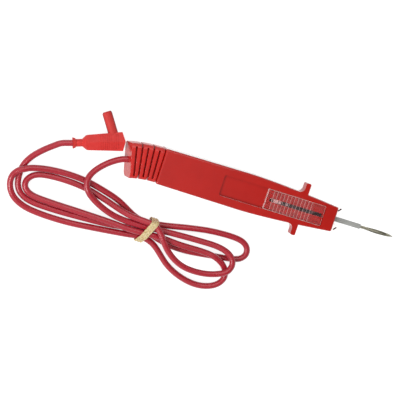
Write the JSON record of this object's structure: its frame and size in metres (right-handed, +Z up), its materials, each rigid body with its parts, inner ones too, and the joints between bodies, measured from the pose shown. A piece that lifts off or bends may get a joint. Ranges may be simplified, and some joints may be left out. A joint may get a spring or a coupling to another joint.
{
  "type": "test probe",
  "caption": "Hand-held electrical test probe: flat red housing with a clear thumb slide that retracts a thin contact tip, on a banded test lead with a shrouded angled plug.",
  "frame": {"origin": "on the surface the probe lies on, under the middle of the probe from the end of its strain relief to the point of its tip", "axes": "+X along the probe towards the tip, +Y across it, +Z up out of the face with the thumb slide"},
  "size_m": [0.3148, 0.1162, 0.0218],
  "materials": {
    "housing_red": "fine satin moulded",
    "boot_red": "satin flexible moulding",
    "plug_red": "satin moulded",
    "lead_red": "smooth flexible jacket",
    "clear": "clear glossy moulded",
    "dark_plastic": "fine matte moulded",
    "grey_sleeve": "smooth satin",
    "steel": "zinc plated",
    "brass": "bright drawn",
    "nickel": "nickel plated",
    "band": "matte natural rubber"
  },
  "bodies": {
    "housing": {"lower_shell": "housing_red", "upper_shell": "housing_red", "shell_screws": "steel", "strain_relief": "boot_red", "lead_inside": "lead_red", "stop_sleeve": "steel", "terminal": "nickel", "terminal_screw": "brass", "contact_rail": "brass", "nose_guide": "clear", "lead": "lead_red", "rubber_band": "band", "plug_body": "plug_red", "plug_shroud": "plug_red", "plug_contact": "nickel", "plug_cage": "nickel"},
    "slider": {"thumb_slide": "clear", "carriage": "dark_plastic", "carriage_screw": "steel", "tip_rod": "nickel", "tip_sleeve": "grey_sleeve", "tip_cage": "nickel", "rod_ferrule": "brass", "wiper_spring": "nickel"}
  },
  "joints": [
    {"name": "tip_slide", "type": "slide", "parent": "housing", "child": "slider", "axis": [-1, 0, 0], "range_m": [0, 0.0375]}
  ]
}
